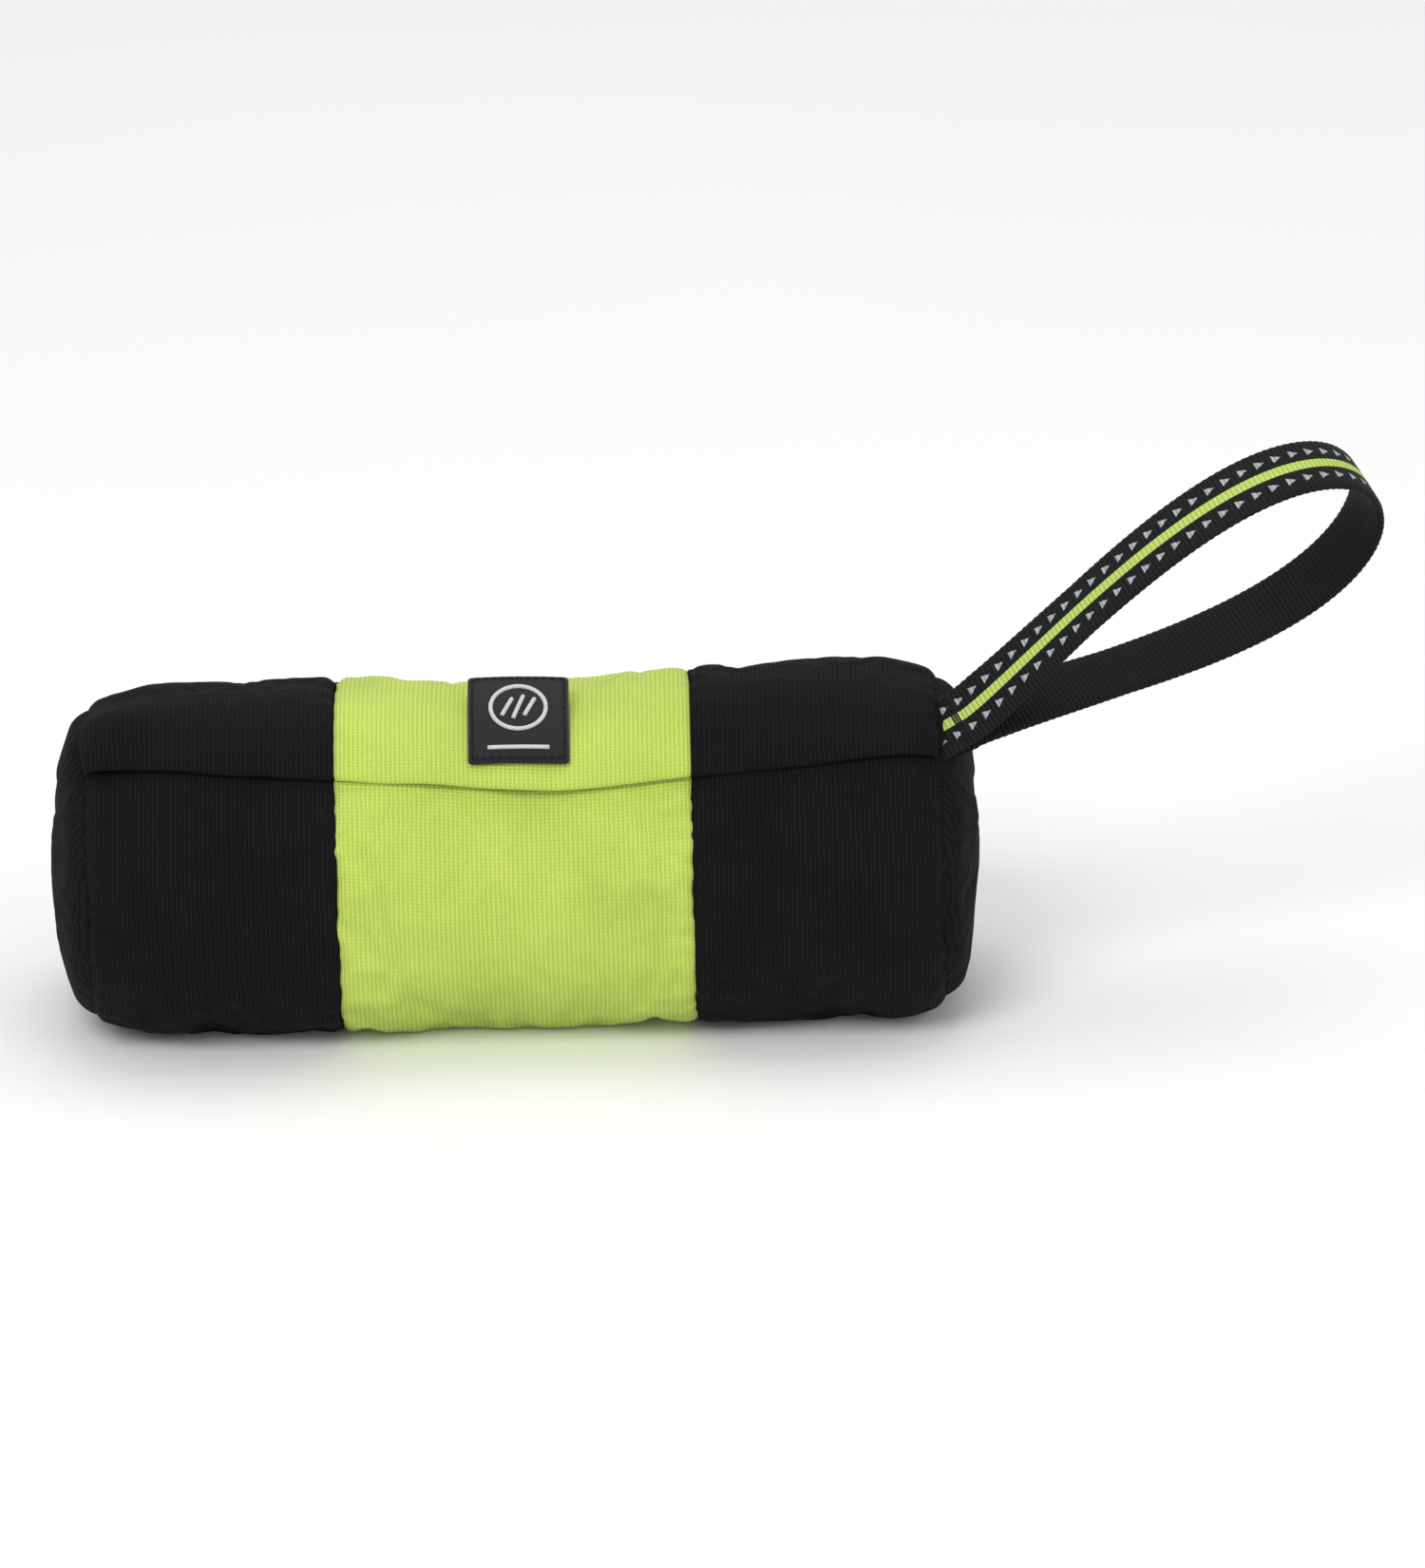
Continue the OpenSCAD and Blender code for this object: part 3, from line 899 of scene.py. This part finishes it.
def zip_tape(name, side, width):
    """Woven tape along one side of the zip, narrower where the body draws in."""
    xs = np.linspace(-TAPE_X, TAPE_X, 96)
    reach = (TOP_R if side > 0 else FRONT_R) - end_inset(xs) - CLOTH_T - TAPE_GAP
    widths = np.minimum(width, np.sqrt(np.maximum(reach ** 2 - ZIP_R ** 2, TAPE_LEAST_W ** 2)))
    across = np.linspace(0.035, 1, 10)
    p = np.array([[on_zip(x, side * w * t, 0.3 + 0.12 * math.sin(x / 6.0) * t) for t in across]
                  for x, w in zip(xs, widths)])
    if side > 0:
        p[:, :, 2] += crown_rise(xs)[:, None] * across ** 2
    normals = np.broadcast_to(np.array([0, ZIP_OUT[0], ZIP_OUT[1]]), p.shape)
    obj = shell(name + "_band", p, 0.5, weave_coords(p), normals)
    finish_piece(obj, TAPE, "zip_tape", "cover", name)


zip_tape("zip_tape_upper", 1, 13.0)
zip_tape("zip_tape_lower", -1, 15.0)


def tube_along(path, radius, sides=6):
    """Points and faces of a closed round tube along a path in millimetres."""
    path = np.asarray(path, float)
    tangent = unit(np.gradient(path, axis=0))
    up = np.array([0.13, 0.31, 0.94])
    across = unit(np.cross(tangent, up))
    normal = np.cross(across, tangent)
    a = np.linspace(0, 2 * math.pi, sides, endpoint=False)
    points = (path[:, None] + radius * (np.cos(a)[None, :, None] * across[:, None]
                                        + np.sin(a)[None, :, None] * normal[:, None])).reshape(-1, 3)
    n = len(path)
    faces = ring_faces(n, sides)
    faces += [tuple(range(sides - 1, -1, -1)), tuple((n - 1) * sides + j for j in range(sides))]
    return points, faces


def join_tubes(name, paths, radius, sides=6):
    """One piece made of a round tube along each path."""
    points, faces = [], []
    for path in paths:
        p, f = tube_along(path, radius, sides)
        base = sum(len(q) for q in points)
        points.append(p)
        faces += [tuple(v + base for v in face) for face in f]
    points = np.concatenate(points)
    weave = np.column_stack([points[:, 0], points[:, 1], np.ones(len(points))])
    obj = new_object(name, points, faces, weave)
    fix_normals(obj)
    return obj


# A turn's pitch, its distance from the chain's middle, half its length, its height and rise, its wire.
COIL_PITCH = 1.5
COIL_MID = 1.35
COIL_HALF = 1.5
COIL_BASE = 1.15
COIL_RISE = 0.62
COIL_WIRE_R = 0.27


def zip_coil(name, side):
    """Row of nylon turns along one side of the zip, half a pitch from the other side's."""
    turns = int(2 * CHAIN_X / COIL_PITCH) - 1
    paths = []
    for k in range(turns):
        x = -CHAIN_X + COIL_PITCH * (k + (0.75 if side > 0 else 0.25))
        paths.append([
            on_zip(x + 0.12 * math.sin(t), side * (COIL_MID - COIL_HALF * math.cos(t)),
                   COIL_BASE + COIL_RISE * math.sin(t))
            for t in np.linspace(0, 2 * math.pi * 0.94, 12)
        ])
    obj = join_tubes(name + "_turns", paths, COIL_WIRE_R)
    finish_piece(obj, NYLON, "zip_coil", "cover", name)


zip_coil("zip_coil_upper", 1)
zip_coil("zip_coil_lower", -1)
for node_name, material in (("zip_slider", METAL), ("zip_pull", METAL), ("zip_top_stops", STOPS),
                            ("zip_bottom_stop", STOPS)):
    mesh = frame["nodes"][node_name].data
    mesh.materials.clear()
    mesh.materials.append(material)

# ---------------------------------------------------------------- stitches


def stitches(name, line, normals, pitch, body, material, slot_name, radius=0.22):
    """Row of short thread stitches lying on a line of surface points."""
    line = np.asarray(line, float)
    length = np.linalg.norm(np.diff(line, axis=0), axis=1).sum()
    count = int(length / pitch)
    both = resample(np.concatenate([line, normals], axis=1), count * 4 + 1)
    sunk, proud = -0.15, 0.22
    lift = np.array([sunk, proud, proud, sunk])[:, None]
    paths = []
    for k in range(count):
        a = both[k * 4:k * 4 + 4]
        paths.append(a[:, :3] + a[:, 3:] * lift)
    obj = join_tubes(name, paths, radius, 5)
    finish_piece(obj, material, slot_name, body)


BACK_STITCH_ROW = 4
for name, (_, _, _, slot_name, thread) in PANELS.items():
    p = uppers[name][2:-2]
    normals = outward(uppers[name])[2:-2]
    stitches(name + "_back_stitch", p[:, BACK_STITCH_ROW], normals[:, BACK_STITCH_ROW], 3.0, "cover",
             thread, slot_name)

for tape_name, across in (("upper", 6.5), ("lower", -7.5)):
    line = np.array([on_zip(x, across, 0.36) for x in np.linspace(-ZIP_X + 2, ZIP_X - 2, 60)])
    out = np.broadcast_to([0, ZIP_OUT[0], ZIP_OUT[1]], line.shape)
    stitches("zip_stitch_" + tape_name, line, out, 2.6, "cover", THREAD, "zip_tape")

# ---------------------------------------------------------------- label

# The label's middle, its size, the slope that it lies at and its slight tilt.
LABEL_X = 1.5
LABEL_W = 22.0
LABEL_H = 24.0
LABEL_SLOPE_DEG = 30.0
LABEL_TILT_DEG = -1.0


def flap_surface(x, share):
    """Point on the centre flap at x, a share of the way from the crown to its edge."""
    p = uppers["centre"]
    i = int(np.argmin(np.abs(p[:, -1, 0] - x)))
    first = p.shape[1] - 2 * FLAP_ROWS
    j = int(round(first + share * (p.shape[1] - 1 - first)))
    return p[i, j]


def label():
    """Woven label: sewn down along the flap, its upper edge standing a little proud."""
    low = flap_surface(LABEL_X, 0.84) + np.array([0, -0.4, 0.9])
    slope = math.radians(LABEL_SLOPE_DEG)
    up = np.array([0, math.cos(slope), math.sin(slope)])
    out = np.array([0, -up[2], up[1]])
    us = np.linspace(-LABEL_W / 2, LABEL_W / 2, 15)
    vs = np.linspace(0, LABEL_H, 15)
    u, v = np.meshgrid(us, vs, indexing="ij")
    bow = np.sin(math.pi * v / LABEL_H) - 0.5 * (2 * u / LABEL_W) ** 2
    p = np.array([0, low[1], low[2]]) + up * v[..., None] + out * bow[..., None]
    p[:, :, 0] = LABEL_X + u
    p[:, :, 2] += u * math.sin(math.radians(LABEL_TILT_DEG))
    normals = grid_normals(p)
    normals *= np.sign(normals[..., 2:3])
    obj = shell("label_patch", p + normals * 0.4, 0.8, weave_coords(p), normals)
    finish_piece(obj, LABEL, "label", "flap", "woven_label")
    return p + normals * 0.42, normals


label_grid, label_normals = label()


def on_label(u, v, lift=0.12):
    """Point on the label's face, u and v from 0 to 1."""
    both = np.concatenate([label_grid, label_normals], axis=2)
    n, m = both.shape[:2]
    i, j = u * (n - 1), v * (m - 1)
    i0, j0 = min(int(i), n - 2), min(int(j), m - 2)
    a, b = i - i0, j - j0
    near = both[i0, j0] * (1 - a) + both[i0 + 1, j0] * a
    far = both[i0, j0 + 1] * (1 - a) + both[i0 + 1, j0 + 1] * a
    point, normal = np.split(near * (1 - b) + far * b, 2)
    return point + normal * lift


# The mark's middle, the radius of its ring as a share of the label's width, and its thread's radius.
MARK_U, MARK_V = 0.5, 0.6
MARK_RING = 0.27
MARK_THREAD_R = 0.48


def motif():
    """Plain geometric mark: a ring with three slanted bars and a short rule below."""
    tall = MARK_RING * LABEL_W / LABEL_H
    paths = [[on_label(MARK_U + MARK_RING * math.cos(t), MARK_V + math.sin(t) * tall)
              for t in np.linspace(0, 2 * math.pi, 41)]]
    for k in (-1, 0, 1):
        half = 0.13 * (1 - 0.25 * abs(k))
        middle = MARK_U + 0.11 * k
        paths.append([on_label(middle + 0.05 * t, MARK_V + half * t) for t in np.linspace(-1, 1, 9)])
    paths.append([on_label(u, 0.16) for u in np.linspace(0.2, 0.8, 12)])
    obj = join_tubes("label_motif", paths, MARK_THREAD_R, 8)
    finish_piece(obj, MOTIF, "label", "flap")


def label_edge_stitch():
    """Stitches all round the label, just inside its edge."""
    low, high = 0.05, 0.95
    way = np.linspace(low, high, 20)
    edge = [on_label(u, low) for u in way]
    edge += [on_label(high, v) for v in way]
    edge += [on_label(u, high) for u in way[::-1]]
    edge += [on_label(low, v) for v in way[::-1]]
    edge = np.array(edge)
    out = np.broadcast_to(label_normals[7, 7], edge.shape)
    stitches("label_stitch", edge, out, 1.8, "flap", THREAD, "label", 0.16)


motif()
label_edge_stitch()

# ---------------------------------------------------------------- hand loop


def loop_line(a):
    """Middle of the webbing round the loop, from one sewn end (0) to the other (360 degrees)."""
    half = np.radians(a / 2)
    s = LOOP_LEN * np.sin(half) ** 2
    h = LOOP_HALF * 1.42 * np.sin(2 * half) * np.sin(half) ** 1.5
    h = h + np.sign(180 - a) * (WEB_T / 2 + 0.15) * np.cos(half) ** 2
    return ROOT + np.outer(s, LOOP_U) + np.outer(h, LOOP_T)


# The webbing's scalloped edges: their depth as a share of its half width, and their pitch.
SCALLOP = 0.012
SCALLOP_PITCH = 1.65


def ribbon(name, line, widths, outs, run):
    """Webbing with rounded, finely scalloped edges, swept along a line."""
    across = np.array([-1, -0.97, -0.85, -0.5, -0.16, 0, 0.16, 0.5, 0.85, 0.97, 1])
    lift = np.array([0.0, 0.55, 0.92, 1, 1, 1, 1, 1, 0.92, 0.55, 0.0])
    profile = list(zip(across, lift))
    profile += [(u, -t) for u, t in profile[-2:0:-1]]
    n, m = len(line), len(profile)
    points, weave = [], []
    for i in range(n):
        scallop = 1 + SCALLOP * math.sin(run[i] * 2 * math.pi / SCALLOP_PITCH)
        for u, t in profile:
            points.append(line[i] + widths[i] * u * WEB_W / 2 * scallop + outs[i] * t * WEB_T / 2)
            weave.append((run[i], u * WEB_W / 2, 1 if t > 0 else -1))
    faces = ring_faces(n, m)
    faces += [tuple(range(m)), tuple((n - 1) * m + j for j in range(m))]
    obj = new_object(name, points, faces, weave)
    fix_normals(obj)
    return obj


def hand_loop():
    """The webbing round the loop, its patterned face outwards, twisted a little between its ends."""
    path = resample(loop_line(np.linspace(0, 360, 721)), 640)
    tangent = unit(np.gradient(path, axis=0))
    share = np.linspace(-1, 1, len(path))
    far = np.clip((np.linalg.norm(path - ROOT, axis=1) - 6) / 30, 0, 1)
    twist = np.radians(LOOP_TWIST * share * far)
    width = LOOP_W - tangent * (tangent @ LOOP_W)[:, None]
    width = unit(width)
    out = np.cross(tangent, width)
    centre = ROOT + LOOP_U * LOOP_LEN * 0.6
    quarter = len(path) // 4
    if (path[quarter] - centre) @ out[quarter] < 0:
        out = -out
    c, s = np.cos(twist)[:, None], np.sin(twist)[:, None]
    widths = width * c + out * s
    outs = out * c - width * s
    run = np.concatenate([[0], np.cumsum(np.linalg.norm(np.diff(path, axis=0), axis=1))])
    obj = ribbon("webbing_loop", path, widths, outs, run)
    finish_piece(obj, WEBBING, "webbing", "loop", "hand_loop")
    print("webbing loop length mm", float(run[-1]))
    return path, widths, outs


loop_path, loop_widths, loop_outs = hand_loop()

# How far the webbing's ends run in through the seam, half the bar tack's width, and its rows' places.
STRAP_END = 8.6
TACK_HALF = 6.4
TACK_ROWS = (1.2, 1.8, 2.4)


def strap_root():
    """The two webbing ends that run in through the end seam, with their bar tack."""
    inward = -LOOP_U
    for k, name in ((0, "upper"), (-1, "lower")):
        start = loop_path[k] + LOOP_U * 0.2
        line = np.array([start + inward * d for d in np.linspace(0, STRAP_END, 22)])
        widths = np.repeat(loop_widths[k][None], len(line), 0)
        outs = np.repeat(loop_outs[k][None], len(line), 0)
        obj = ribbon("strap_end_" + name, line, widths, outs, np.linspace(0, -STRAP_END, 22))
        finish_piece(obj, WEBBING, "webbing", "cover", *(["strap_root"] if name == "upper" else []))
        if name == "upper":
            face = start + outs[0] * (WEB_T / 2 + 0.1)
            across = widths[0] * np.linspace(-TACK_HALF, TACK_HALF, 40)[:, None]
            rows = [face + inward * d + across for d in TACK_ROWS]
    finish_piece(join_tubes("bar_tack", rows, 0.22), THREAD, "webbing", "cover")


strap_root()

# ---------------------------------------------------------------- stage, light and camera


def stage():
    """Plain pale floor."""
    reach = 9000
    points = [(-reach, -reach, 0), (reach, -reach, 0), (reach, reach, 0), (-reach, reach, 0)]
    floor = new_object("studio_floor", points, [(0, 1, 2, 3)])
    n = Nodes("studio_paper", 0.9)
    n.colour(n.mix(n.noise(n.object_point(), 3, 2), (0.88, 0.88, 0.88, 1), (0.92, 0.92, 0.92, 1)))
    floor.data.materials.append(n.mat)


def area_light(name, place, target, size, power):
    """Round soft light turned to a target."""
    data = bpy.data.lights.new(name, "AREA")
    data.shape = "DISK"
    data.size = size
    data.energy = power
    lamp = bpy.data.objects.new(name, data)
    bpy.context.scene.collection.objects.link(lamp)
    lamp.location = place
    lamp.rotation_euler = (Vector(target) - Vector(place)).to_track_quat("-Z", "Y").to_euler()


def camera(azimuth, elevation, distance, lens, roll, target):
    """Camera round a target, in degrees, metres and millimetres of lens."""
    data = bpy.data.cameras.new("view")
    data.lens = lens
    data.sensor_width = 36
    data.clip_end = 50
    cam = bpy.data.objects.new("view", data)
    bpy.context.scene.collection.objects.link(cam)
    a, e = math.radians(azimuth), math.radians(elevation)
    way = Vector((math.sin(a) * math.cos(e), -math.cos(a) * math.cos(e), math.sin(e)))
    cam.location = Vector(target) + way * distance
    turn = (-way).to_track_quat("-Z", "Y").to_matrix().to_4x4()
    cam.rotation_euler = (turn @ Matrix.Rotation(math.radians(roll), 4, "Z")).to_euler()
    bpy.context.scene.camera = cam


MIDDLE = (0.043, 0.0, 0.05)
stage()
area_light("key", (-0.5, -1.1, 1.3), MIDDLE, 0.9, 12.5)
area_light("fill", (1.2, -0.9, 0.7), MIDDLE, 1.2, 4)
area_light("top", (0.1, 0.4, 1.6), MIDDLE, 1.2, 6.5)
world = bpy.data.worlds.new("studio")
bpy.context.scene.world = world
world.use_nodes = True
background = world.node_tree.nodes["Background"]
background.inputs["Color"].default_value = (1, 1, 1, 1)
background.inputs["Strength"].default_value = 0.64
bpy.context.scene.view_settings.view_transform = "Standard"
camera(0, 22, 2.2, 232, -1.4, MIDDLE)
